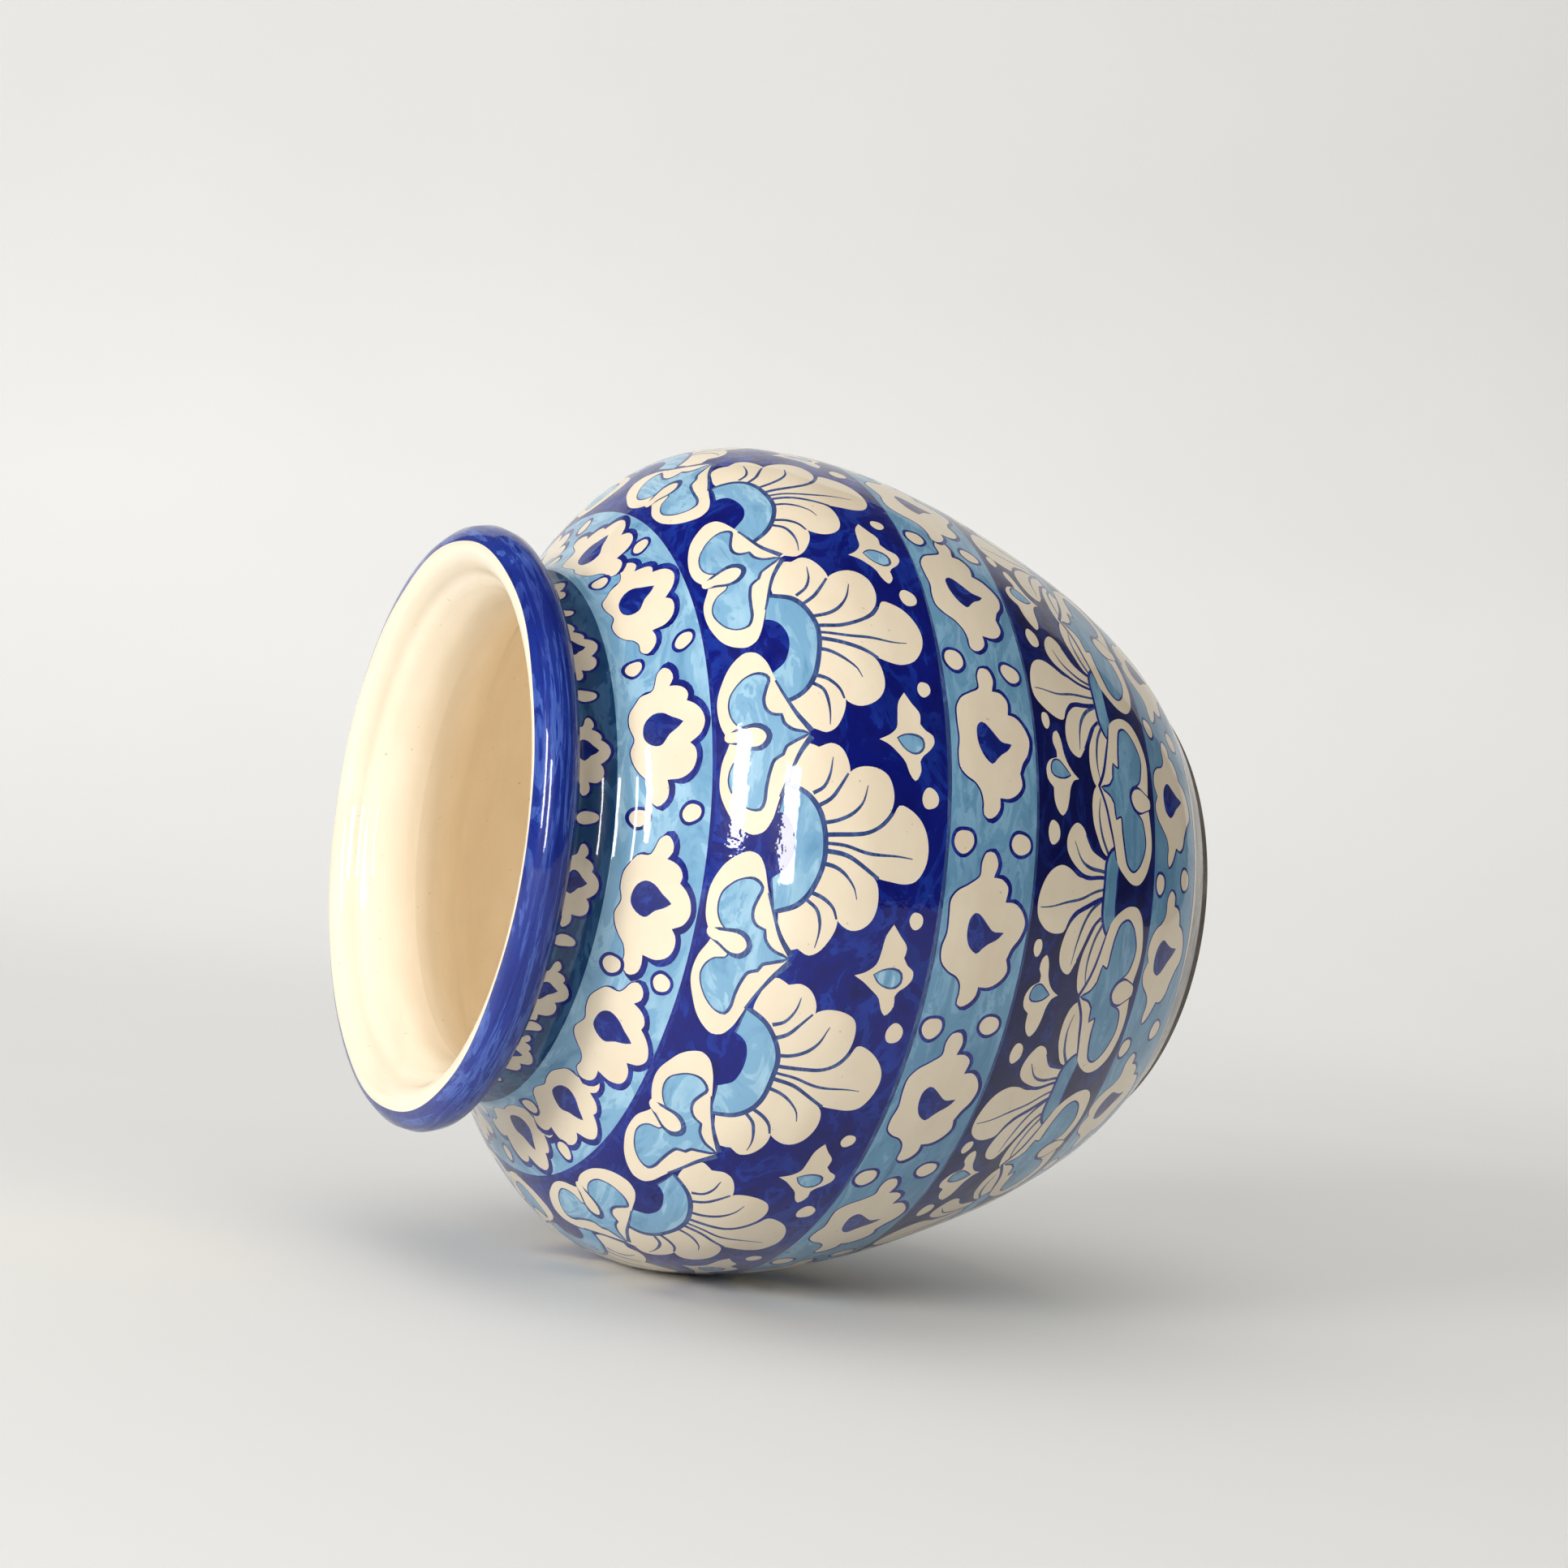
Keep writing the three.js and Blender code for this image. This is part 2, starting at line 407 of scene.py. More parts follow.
def lower_palmette():
    """The fan that opens upwards from the lower cobalt band."""
    motif = Motif()
    outer_petal = [
        (-24.3, 56.5), (-23.1, 58.2), (-20.6, 59.2), (-17.6, 59.5), (-14.7, 59.2), (-11.8, 57.9),
        (-7.6, 54.6), (-7.8, 50.5), (-11.4, 49.8), (-13.9, 50.5), (-17.6, 51.7), (-21, 53.4),
        (-23.5, 55),
    ]
    left_petal = [
        (-18.7, 63), (-18.5, 64.8), (-17.2, 66.7), (-14.7, 67.8), (-12.2, 67.6), (-9.3, 66.3),
        (-6.8, 64.2), (-5.1, 61.7), (-3.6, 57.5), (-2.6, 53), (-6, 53.4), (-9.6, 57), (-13.9, 59.8),
        (-16.8, 61.5),
    ]
    middle_petal = [
        (-2.6, 53), (-4.1, 59.5), (-5.1, 63.8), (-7.6, 66.3), (-10.3, 67.9), (-10.6, 69.6),
        (-10.1, 72.5), (-8.9, 74.8), (-7.2, 76.5), (-5.1, 77.1), (-2.2, 76.9), (0.7, 75.5), (2.6, 73.4),
        (3.5, 70.5), (3, 68), (1.7, 64.6), (1.7, 61.3), (2, 57.5), (2.2, 53),
    ]
    right_petal = [
        (2.2, 53), (2.1, 58), (3, 64.2), (4.5, 67.1), (6.5, 68.7), (9, 69), (11.5, 67.8), (13, 65.5),
        (12.4, 63.4), (10.3, 61.7), (7.8, 59.6), (6.1, 56.3), (5.3, 53),
    ]
    motif.fill("cream", outer_petal)
    motif.fill("cream", scaled(outer_petal, 0.92), flip=True)
    motif.fill("cream", left_petal)
    motif.fill("cream", right_petal)
    motif.fill("cream", middle_petal)
    for points, widths in (
        ([(-22.6, 55.7), (-19.3, 56.6), (-16, 56.8), (-11.8, 55.9), (-7.8, 53.4)], (0.2, 0.7, 0.8)),
        ([(-16, 61), (-12.6, 59.2), (-9, 57), (-6.6, 54.4)], (0.5, 0.8, 0.8)),
        ([(-16.8, 62.8), (-12.6, 62.3), (-8.5, 60.7), (-5.1, 58.2), (-2.8, 55)], (0.2, 0.8, 0.9)),
        ([(-8.4, 66.4), (-5.4, 63), (-3.9, 59), (-2.3, 54.6)], (0.7, 1.2, 1.0)),
        ([(-5.1, 76.1), (-4.3, 70), (-2.8, 63.4), (-1.2, 58), (-0.4, 54.6)], (0.2, 0.6, 0.6)),
        ([(2.7, 66.2), (1.8, 61.3), (2, 54.6)], (0.7, 0.9, 0.8)),
        ([(8.8, 66.3), (5.2, 63.4), (3.7, 59.6), (3.2, 54.6)], (0.2, 0.8, 0.8)),
        ([(11, 62.2), (7.8, 59.2), (6, 54.6)], (0.5, 0.8, 0.8)),
        ([(19.4, 56.2), (15.3, 57), (11, 56), (7.4, 53.6)], (0.2, 0.7, 0.8)),
    ):
        motif.line("line" if min(widths) < 0.4 else "ink", points, widths)
    motif.fill("dusk", [
        (-9.2, 49), (-6, 50.6), (0, 51.4), (5, 50.4), (8.6, 48.6), (9.4, 44), (6, 39), (0, 37.4),
        (-6, 39), (-9.6, 44),
    ])
    motif.outlined("wash", [
        (-10.8, 49.4, 1), (-9.7, 51.9), (-6.8, 53.4), (-2.2, 54.1), (2, 54.1), (5.7, 53.6),
        (8.2, 52.1), (9.7, 49.4, 1), (6, 49.3), (1.3, 50), (-2.6, 49.9), (-6.4, 49.2),
    ], 0.85, 0.5, edge="ink")
    return motif


def lower_scrolls():
    """The scrolls between the lower palmettes, curling down instead of up."""
    motif = Motif()
    scroll = [
        (-0.4, 57.4, 1), (-2.8, 55.5), (-6.2, 54.2), (-10.3, 52.5), (-14.5, 51.1), (-17.4, 49.6),
        (-19.9, 46.7), (-21.4, 43.4), (-21.2, 40.5), (-19.1, 38), (-15.3, 36.3), (-11.2, 35.5),
        (-7, 35.7), (-3.7, 36.3), (1, 37.4), (1.4, 52),
    ]
    seam = [(-16.5, 50.4), (-10.3, 52.5), (-4, 54.8), (0.2, 57.4)]
    for flip in (False, True):
        motif.fill("cream", scroll, flip)
    for flip in (False, True):
        motif.line("ink", seam, (0.4, 0.9, 0.9), flip)
    left = [
        (0, 56, 1), (-1.2, 52.6), (-3, 51, 1), (-6.6, 50.4, 1), (-5.8, 48.8), (-10.3, 47.8),
        (-14.1, 46.9), (-17, 45.5), (-18, 43.4), (-16.6, 41.2), (-14.1, 39.6), (-11.2, 38.6),
        (-7.8, 39), (-5.2, 40), (-3, 43),
    ]
    right = mirrored(left[1:])[::-1]
    motif.outlined("wash", left + right, 0.6, 0.5, edge="ink")
    motif.outlined("cream", [
        (0, 44.2), (-2.2, 43), (-3, 40.6), (-2.2, 38), (-1, 35.9), (1, 35.9), (2.2, 38), (3, 40.6),
        (2.2, 43),
    ], 1.0, 0.35, edge="ink")
    return motif


def lower_bud():
    """The small star between the tips of the lower fans, and the dots beside it."""
    motif = Motif()
    motif.fill("cream", [
        (-9.1, 70.3), (-7.8, 72.3), (-6.2, 73.2), (-3.7, 73.6, 1), (-2, 75.7), (0.1, 76), (2.2, 74.6),
        (3.2, 71.9, 1), (4.7, 71.9), (6.3, 73), (8.4, 72.8), (9.2, 71.5), (7.6, 70.3), (4.7, 69.4),
        (2.4, 68), (1.1, 66.5), (0.2, 64.8, 1), (-0.5, 66.5), (-2.4, 67.8), (-5.8, 68.4), (-7.8, 69),
    ])
    motif.outlined("wash", [
        (0.3, 67.9, 1), (-0.8, 69.8), (-1.1, 72), (-0.3, 74), (1, 74), (2.3, 73), (2.5, 71.2),
        (1.5, 69.6),
    ], 0.4, 0.4, edge="ink")
    motif.oval("cream", -12.8, 73.2, 2.5, 2)
    motif.oval("cream", 10.9, 75, 1.8, 1.4)
    return motif


SHOULDER_BLOSSOM = [
    (-17.5, 171.4), (-16.2, 173), (-13.6, 173), (-11.6, 174), (-10.3, 175.5), (-7.7, 177.3),
    (-5.1, 177.9), (-1.6, 176.8), (2, 177.7), (5.4, 177.6), (7.5, 176.3), (9.1, 175), (10.1, 171.5),
    (11.8, 170.6), (13.8, 169.8), (14.6, 168.4), (12.9, 166.6), (10.9, 166.4), (9.4, 167.6, 1),
    (8.8, 165.9), (7.7, 164.3), (6.2, 163.6), (4.9, 164, 1), (4, 162.4), (2.4, 160.7), (-0.3, 159.8),
    (-2.6, 160.9), (-4.7, 163.8, 1), (-5.8, 162.7), (-8, 162.2), (-10.3, 163), (-11.9, 165.4),
    (-11.9, 168.8, 1), (-13.8, 168.4), (-15.8, 168.8),
]
SHOULDER_DROP = [
    (-3.6, 170.9), (-3.3, 172.8), (-1.9, 174.3), (0.4, 174.6), (2.9, 173.8), (4.1, 172.1),
    (3.7, 169.9), (2, 167.6), (0.5, 165.2, 1), (-0.6, 166.8), (-1.4, 168.4),
]
MIDDLE_BLOSSOM = [
    (-17, 94.1), (-16.4, 95.2), (-14.2, 95.2), (-11.6, 95.8), (-9.8, 97.4), (-8.6, 99.8),
    (-6.6, 102), (-4, 102.4), (-0.6, 101.7), (3.3, 102.1), (6.6, 102.1), (8.8, 100.6),
    (10.4, 97.7), (12.4, 94.9), (15.2, 94.9), (17.3, 93.9), (17.6, 91.8), (15.6, 90.5),
    (12.5, 91.2, 1), (12.5, 89), (10.9, 87), (7.3, 87.3, 1), (7.1, 84.8), (5.4, 82.3),
    (2.6, 80.7), (-0.6, 81.5), (-3.2, 83.5), (-5.5, 84.5, 1), (-8.2, 83.7), (-10.6, 85.2),
    (-11.9, 87.6), (-12, 90.6, 1), (-14, 90.6), (-16.2, 92.2),
]
MIDDLE_DROP = [
    (-4.4, 93.1), (-3.6, 94.7), (-1.7, 96), (0.6, 96.5), (2.9, 96.2), (3.8, 95.2), (3.1, 93.5),
    (1.8, 91.8), (0.4, 89.8), (0.3, 86.8, 1), (-1, 88.4), (-1.9, 90.2), (-3.2, 91.8),
]
FOOT_BLOSSOM = [
    (-16.1, 26.3), (-14, 27.1), (-11.5, 27), (-9.4, 27.8), (-8, 29.4), (-6.1, 31.7), (-3.6, 32.7),
    (-0.9, 31.5, 1), (1.6, 32.8), (4.6, 32.1), (6.8, 30), (8.1, 27.5), (9.8, 26), (14.3, 25.7),
    (15.9, 24.2), (14.8, 22.4), (12.3, 22.1, 1), (11.8, 20.3), (10.4, 18.8), (7.7, 18.2, 1),
    (6.6, 15.9), (4.3, 14.3), (1.2, 13.4), (-1.6, 13.6), (-3.8, 15.6), (-7.3, 17.8, 1), (-9.8, 18.8),
    (-11.3, 20.5), (-10.9, 22.8, 1), (-12.6, 23.6), (-14.8, 24.8),
]
FOOT_DROP = [
    (-4, 25.3), (-3.3, 27.4), (-0.9, 28.4), (2.1, 28), (4.3, 25.6), (3.1, 23.2), (2, 21),
    (1.7, 18.4, 1), (0.2, 20), (-1.2, 21.8), (-2.9, 23.5),
]


def blossom(outline, drop, above, below):
    """A cream flower with a cobalt drop in it."""
    motif = Motif()
    motif.outlined("cream", outline, above, below, edge="ink")
    motif.outlined("drop", drop, 0.15, 0.3, edge="ink")
    return motif


def dots(*rows):
    """Outlined cream dots: (along, climb, half width, half height, edge width) each."""
    motif = Motif()
    for x, climb, half_width, half_height, edge_width in rows:
        motif.oval("cream", x, climb, half_width, half_height, edge_width)
    return motif


def neck_blossom(low, high):
    """The shoulder's blossom again, squeezed into the groove of the neck."""
    base, top = 159.8, 177.9
    flatter = (high - low) / (top - base)
    narrower = 0.58

    def fitted(points):
        return [(x * narrower, low + (y - base) * flatter, *rest) for x, y, *rest in points]

    return blossom(fitted(SHOULDER_BLOSSOM), fitted(SHOULDER_DROP), 0.3, 0.8)


# --- Meshing -----------------------------------------------------------------------------------


def inside(points, outline):
    """Which points a closed outline goes round."""
    low, high = outline.min(0), outline.max(0)
    found = np.zeros(len(points), bool)
    near = np.where(((points >= low) & (points <= high)).all(1))[0]
    ahead = np.roll(outline, -1, axis=0)
    for part in np.array_split(near, max(1, len(near) * len(outline) // 4_000_000)):
        x, y = points[part, 0, None], points[part, 1, None]
        side = (ahead[:, 0] - outline[:, 0]) * (y - outline[:, 1])
        side = side - (x - outline[:, 0]) * (ahead[:, 1] - outline[:, 1])
        up = (outline[:, 1] <= y) & (ahead[:, 1] > y) & (side > 0)
        down = (outline[:, 1] > y) & (ahead[:, 1] <= y) & (side < 0)
        found[part] = up.sum(1) != down.sum(1)
    return found


def lattice(run):
    """A course laid out flat as rings of points: both rims, then staggered rows between them."""
    first, last = run.climb[0], run.climb[-1]
    flat = [run.to_plane(RING, first), run.to_plane(RING, last)]
    rows = max(1, round((last - first) / LATTICE))
    for row in range(1, rows):
        climb = first + (last - first) * row / rows
        count = round(TURN * run.at([climb], run.points)[0, 0] / LATTICE)
        flat.append(run.to_plane((np.arange(count) + 0.5 * (row % 2)) * TURN / count, climb))
    return flat


def painted_face(run, ground, shapes):
    """Triangles over a course's outer face, cut along the brushwork.

    Returns the flat places, the triangles, the paint of each and the places of the two rims.
    """
    first, last = run.climb[0], run.climb[-1]
    flat = lattice(run)
    edges = [(k, (k + 1) % AROUND) for k in range(AROUND)]
    edges += [(AROUND + a, AROUND + b) for a, b in edges]
    total = sum(len(f) for f in flat)
    outlines = []
    for paint, angle, climb in shapes:
        climb = np.clip(climb, first + EDGE_MARGIN, last - EDGE_MARGIN)
        outline = run.to_plane(angle, climb)
        outlines.append((paint, outline))
        flat.append(outline)
        edges += [(total + k, total + (k + 1) % len(outline)) for k in range(len(outline))]
        total += len(outline)
    everything = [Vector(p) for p in np.concatenate(flat)]
    places, _, faces, sources, _, _ = delaunay_2d_cdt(everything, edges, [], 0, 1e-6)
    places = np.array([tuple(p) for p in places])
    faces = np.array([tuple(f) for f in faces])
    middle = places[faces].mean(1)
    keep = ~inside(middle, flat[0])
    faces, middle = faces[keep], middle[keep]
    paints = np.full(len(faces), PAINTS.index(ground))
    for paint, outline in outlines:
        paints[inside(middle, outline)] = PAINTS.index(paint)
    rims = np.zeros(2 * AROUND, int)
    for index, origin in enumerate(sources):
        for k in origin:
            if k < 2 * AROUND:
                rims[k] = index
    a, b, c = (places[faces[:, k]] for k in range(3))
    turned = (b[:, 0] - a[:, 0]) * (c[:, 1] - a[:, 1]) - (b[:, 1] - a[:, 1]) * (c[:, 0] - a[:, 0])
    faces[turned > 0] = faces[turned > 0][:, ::-1]  # outwards in space is clockwise in the plane
    return places, faces, paints, rims


def around_axis(angle, profile):
    """(x, y, z) of [radius, height] rows at the given angles."""
    radius, height = profile[:, 0], profile[:, 1]
    return np.stack([radius * np.cos(angle), radius * np.sin(angle), height], axis=1)


PAINTS = [
    "cream", "sky", "wash", "groove", "cobalt", "dusk", "drop", "ink", "line", "foot", "lip",
    "inside", "clay",
]


def mesh_piece(name, node, points, faces, paints, normals):
    """A Blender object from millimetre points, with one normal for each face corner."""
    mesh = bpy.data.meshes.new(name)
    mesh.from_pydata((points * MM).tolist(), [], [list(f) for f in faces])
    used = sorted(set(int(p) for p in paints))
    for paint in used:
        mesh.materials.append(GLAZES[PAINTS[paint]])
    mesh.polygons.foreach_set("material_index", [used.index(int(p)) for p in paints])
    mesh.polygons.foreach_set("use_smooth", [True] * len(mesh.polygons))
    mesh.update()
    mesh.normals_split_custom_set([tuple(n) for n in normals])
    piece = bpy.data.objects.new(name, mesh)
    bpy.context.scene.collection.objects.link(piece)
    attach(piece, "root")
    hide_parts(node)
    return piece


def profile_normals(profile):
    """Smooth outward normals along an open profile whose inside is on its left."""
    step = np.gradient(profile, axis=0)
    out = np.stack([step[:, 1], -step[:, 0]], axis=1)
    return out / np.maximum(np.linalg.norm(out, axis=1, keepdims=True), 1e-9)


def lathe(stretches, paints, first_vertex=0):
    """Quads of a turned body. Each stretch is smooth in itself and creased against its neighbours.

    stretches: lists of [radius, height], each starting where the one before it ends.
    Returns points, faces, the paint of each face and a normal for each face corner.
    """
    points, faces, face_paints, normals = [], [], [], []
    ring = 0
    for part, paint in zip(stretches, paints):
        profile = np.array(part, float)
        out = profile_normals(profile)
        for k, row in enumerate(profile):
            if ring == 0 or k:
                points.append(around_axis(RING, np.repeat(row[None], AROUND, axis=0)))
                ring += 1
            if not k:
                continue
            low = first_vertex + (ring - 2) * AROUND
            high = low + AROUND
            for i in range(AROUND):
                j = (i + 1) % AROUND
                faces.append((low + i, low + j, high + j, high + i))
                face_paints.append(PAINTS.index(paint))
                for angle, side in ((i, k - 1), (j, k - 1), (j, k), (i, k)):
                    turn = RING[angle]
                    normals.append((out[side, 0] * math.cos(turn), out[side, 0] * math.sin(turn),
                                    out[side, 1]))
    return np.concatenate(points), faces, face_paints, normals


def painted_course(node, run, ground, shapes, back, back_paints):
    """A course of the wall: its painted outer face, and a lathe for the rest of its outline."""
    places, faces, paints, rims = painted_face(run, ground, shapes)
    angle, climb = run.from_plane(places)
    for rim, end in ((rims[:AROUND], 0), (rims[AROUND:], -1)):
        angle[rim] = RING
        climb[rim] = run.climb[end]
    points = around_axis(angle, run.at(climb, run.points))
    normal = around_axis(angle, run.at(climb, run.normal))
    corner_normals = normal[faces].reshape(-1, 3)

    # The lathe runs from the top rim, over the seam and down the inside, to the bottom rim.
    spare, back_faces, back_face_paints, back_normals = lathe(back, back_paints, len(points))
    rings = len(spare) // AROUND
    swap = {len(points) + i: rims[AROUND + i] for i in range(AROUND)}
    swap.update({len(points) + (rings - 1) * AROUND + i: rims[i] for i in range(AROUND)})
    stitched = [tuple(int(swap.get(v, v - AROUND)) for v in face) for face in back_faces]
    body = np.concatenate([points, spare[AROUND:-AROUND]])
    return mesh_piece(
        node + "_painted", node, body, faces.tolist() + stitched,
        paints.tolist() + back_face_paints, corner_normals.tolist() + back_normals,
    )


# --- Glazes ------------------------------------------------------------------------------------


class Nodes:
    """Short-hand for building one material's node tree."""

    def __init__(self, name):
        self.material = bpy.data.materials.new(name)
        self.material.use_nodes = True
        self.tree = self.material.node_tree
        self.shader = self.tree.nodes["Principled BSDF"]

    def link(self, source, target):
        self.tree.links.new(source, target)

    def add(self, kind, **values):
        node = self.tree.nodes.new("ShaderNode" + kind)
        for name, value in values.items():
            node.inputs[name].default_value = value
        return node

    def place(self, scale=(1, 1, 1)):
        mapping = self.add("Mapping", Scale=scale)
        self.link(self.add("TexCoord").outputs["Object"], mapping.inputs["Vector"])
        return mapping.outputs["Vector"]

    def reach_along(self, direction, start, end):
        """0 to 1 with the distance in metres along a direction."""
        dot = self.add("VectorMath")
        dot.operation = "DOT_PRODUCT"
        self.link(self.place(), dot.inputs[0])
        dot.inputs[1].default_value = direction
        reach = self.add("MapRange", **{"From Min": start, "From Max": end})
        self.link(dot.outputs["Value"], reach.inputs["Value"])
        return reach.outputs["Result"]

    def noise(self, scale, detail=3.0, roughness=0.5, distortion=0.0, stretch=(1, 1, 1)):
        node = self.add(
            "TexNoise", Scale=scale, Detail=detail, Roughness=roughness, Distortion=distortion)
        self.link(self.place(stretch), node.inputs["Vector"])
        return node.outputs["Fac"]

    def ramp(self, source, stops):
        node = self.add("ValToRGB")
        marks = node.color_ramp.elements
        while len(marks) < len(stops):
            marks.new(0.5)
        for mark, (place, colour) in zip(marks, stops):
            mark.position = place
            mark.color = (*colour, 1)
        self.link(source, node.inputs["Fac"])
        return node.outputs["Color"]

    def grey(self, source, stops):
        return self.ramp(source, [(place, (value,) * 3) for place, value in stops])

    def blend(self, factor, first, second):
        node = self.add("Mix")
        node.data_type = "RGBA"
        for socket, value in zip((node.inputs[0], node.inputs[6], node.inputs[7]),
                                 (factor, first, second)):
            if isinstance(value, bpy.types.NodeSocket):
                self.link(value, socket)
            elif isinstance(value, tuple):
                socket.default_value = (*value, 1)
            else:
                socket.default_value = value
        return node.outputs[2]

    def bump(self, source, strength, distance, under=None):
        node = self.add("Bump", Strength=strength, Distance=distance)
        self.link(source, node.inputs["Height"])
        if under:
            self.link(under, node.inputs["Normal"])
        return node.outputs["Normal"]

    def finish(self, colour, roughness, normal):
        self.link(colour, self.shader.inputs["Base Color"])
        self.link(roughness, self.shader.inputs["Roughness"])
        self.link(normal, self.shader.inputs["Normal"])
        return self.material


ROUND_THE_POT = (1, 1, 3.2)     # brush marks run round the pot, so they change fastest with height


def clear_glaze(nodes, grain=0.12):
    """The clear coat over the painting: a faintly wavy surface with a fine orange peel."""
    gloss = {"Coat Weight": 0.7, "Coat Roughness": 0.04, "Coat IOR": 1.5, "Specular IOR Level": 0.12}
    for name, value in gloss.items():
        nodes.shader.inputs[name].default_value = value
    ripples = nodes.bump(nodes.noise(24, 2, 0.4, 0.3, (1, 1, 1.8)), 0.5, 0.0012)
    peel = nodes.bump(nodes.noise(420, 2, 0.5), grain, 0.0002, ripples)
    nodes.link(peel, nodes.shader.inputs["Coat Normal"])
    return peel


def cream_glaze(name, tint):
    """Warm tin white, slightly uneven, with pinholes and iron specks."""
    nodes = Nodes(name)
    pale, warm, deep = tint
    cloud = nodes.ramp(nodes.noise(38, 4, 0.55, 0.4), [(0.3, warm), (0.52, pale), (0.75, pale)])
    streaks = nodes.grey(nodes.noise(60, 3, 0.5, 0.0, ROUND_THE_POT), [(0.35, 0.0), (0.75, 0.35)])
    colour = nodes.blend(streaks, cloud, deep)
    specks = nodes.grey(nodes.noise(900, 1, 0.4), [(0.77, 0.0), (0.8, 0.45)])
    colour = nodes.blend(specks, colour, (0.32, 0.22, 0.13))
    roughness = nodes.grey(nodes.noise(90, 3), [(0.3, 0.3), (0.7, 0.42)])
    return nodes.finish(colour, roughness, clear_glaze(nodes))


def brushed_glaze(name, shades, pooled, swirl, streak, stretch=ROUND_THE_POT, grain=0.12):
    """Colour laid on in watery strokes: bands of shade, darker where the brush overlapped.

    shades are dark, middle and light, pooled is the colour where it stood deepest, and swirl and
    streak say how fine the broad and the thin brush marks are.
    """
    nodes = Nodes(name)
    dark, mid, light = shades
    wash = nodes.noise(swirl, 5, 0.6, 1.4, stretch)
    stroke_edges = nodes.ramp(wash, [
        (0.34, dark), (0.45, mid), (0.5, mid), (0.53, light), (0.6, light), (0.62, mid), (0.74, dark),
    ])
    fine = nodes.grey(nodes.noise(streak, 4, 0.6, 0.2, stretch), [(0.35, 0.0), (0.7, 0.8)])
    colour = nodes.blend(fine, stroke_edges, mid)
    pools = nodes.grey(nodes.noise(swirl * 0.45, 3, 0.5, 0.8), [(0.5, 0.0), (0.72, 0.75)])
    colour = nodes.blend(pools, colour, pooled)
    roughness = nodes.grey(nodes.noise(160, 4), [(0.3, 0.24), (0.7, 0.44)])
    return nodes.finish(colour, roughness, clear_glaze(nodes, grain=grain))


def bare_clay(name):
    """The unglazed foot: matte, gritty and dark grey-brown."""
    nodes = Nodes(name)
    body = nodes.ramp(nodes.noise(70, 6, 0.65), [
        (0.3, (0.06, 0.048, 0.04)), (0.5, (0.14, 0.115, 0.095)), (0.72, (0.27, 0.22, 0.18)),
    ])
    grit = nodes.grey(nodes.noise(1300, 2), [(0.62, 0.0), (0.68, 0.7)])
    colour = nodes.blend(grit, body, (0.045, 0.033, 0.028))
    roughness = nodes.grey(nodes.noise(200, 3), [(0.3, 0.78), (0.7, 0.95)])
    grain = nodes.bump(nodes.noise(700, 5, 0.7), 0.5, 0.0004)
    return nodes.finish(colour, roughness, grain)


GLAZES = {
    "cream": cream_glaze("cream_ground", (
        (0.79, 0.69, 0.535), (0.75, 0.64, 0.48), (0.69, 0.575, 0.42))),
    "inside": cream_glaze("cream_inside", (
        (0.87, 0.77, 0.615), (0.84, 0.735, 0.57), (0.78, 0.665, 0.5))),
    "sky": brushed_glaze("sky_wash", (
        (0.095, 0.245, 0.41), (0.19, 0.38, 0.56), (0.33, 0.54, 0.69)), (0.11, 0.28, 0.46), 42, 130),
    "wash": brushed_glaze("lower_sky_wash", (
        (0.065, 0.185, 0.33), (0.135, 0.305, 0.47), (0.215, 0.41, 0.58)), (0.08, 0.21, 0.36), 42, 130),
    # The neck's ground: a deeper blue wash, darkened further as painted shade for the lip's shadow over
    # the neck.
    "groove": brushed_glaze("neck_wash_and_painted_shade", (
        (0.008, 0.04, 0.12), (0.018, 0.07, 0.18), (0.055, 0.15, 0.3)), (0.01, 0.05, 0.14), 42, 130),
    "cobalt": brushed_glaze("cobalt_ground", (
        (0.001, 0.002, 0.085), (0.0015, 0.006, 0.16), (0.006, 0.032, 0.29)),
        (0.001, 0.0025, 0.095), 60, 150, (1, 1, 1.6), 0.4),
    "dusk": brushed_glaze("lower_cobalt", (
        (0.0006, 0.0015, 0.04), (0.001, 0.004, 0.085), (0.004, 0.018, 0.17)),
        (0.0007, 0.0015, 0.045), 60, 150, (1, 1, 1.6), 0.2),
    "foot": brushed_glaze("foot_wash", (
        (0.09, 0.08, 0.07), (0.17, 0.15, 0.13), (0.3, 0.27, 0.23)), (0.07, 0.06, 0.05), 40, 120),
    "drop": brushed_glaze("cobalt_drops", (
        (0.0015, 0.005, 0.095), (0.003, 0.011, 0.17), (0.013, 0.045, 0.31)),
        (0.002, 0.006, 0.11), 110, 300, (1, 1, 1.3), 0.2),
    "ink": brushed_glaze("ink_lines", (
        (0.002, 0.005, 0.10), (0.006, 0.012, 0.18), (0.02, 0.045, 0.3)), (0.003, 0.006, 0.12), 90, 240),
    "line": brushed_glaze("thin_lines", (
        (0.015, 0.03, 0.12), (0.033, 0.065, 0.2), (0.08, 0.13, 0.3)), (0.02, 0.04, 0.15), 110, 260),
    "lip": brushed_glaze("lip_cobalt", (
        (0.003, 0.008, 0.12), (0.009, 0.027, 0.23), (0.06, 0.12, 0.43)),
        (0.005, 0.012, 0.15), 34, 230, (1, 1, 14)),
    "clay": bare_clay("bare_clay"),
}

# --- The pot, course by course -----------------------------------------------------------------

WALL = Run(along(OUTER_WALL, OUTER_WALL[0][0], OUTER_WALL[-1][0], 0.25))
FOOT_BAND_TOP = 33.6    # climbs where the light blue bands end, with a drawn line just above
BELLY_BAND_TOP = 104.2
LINE_ABOVE = 0.7
WHITE_BAND_TOP = 9.4    # a narrow cream band above the foot
GREY_FOOT_BAND_TOP = 8.2         # the wall is painted a dark grey-brown up to here
WALL_BACK_PAINTS = ["clay", "inside", "clay"]


def climb_at(height):
    return float(np.interp(height, WALL.points[:, 1], WALL.climb))


def on_inner(height):
    return [radius_at(INNER_WALL, height), height]


def on_outer(height):
    return [radius_at(OUTER_WALL, height), height]


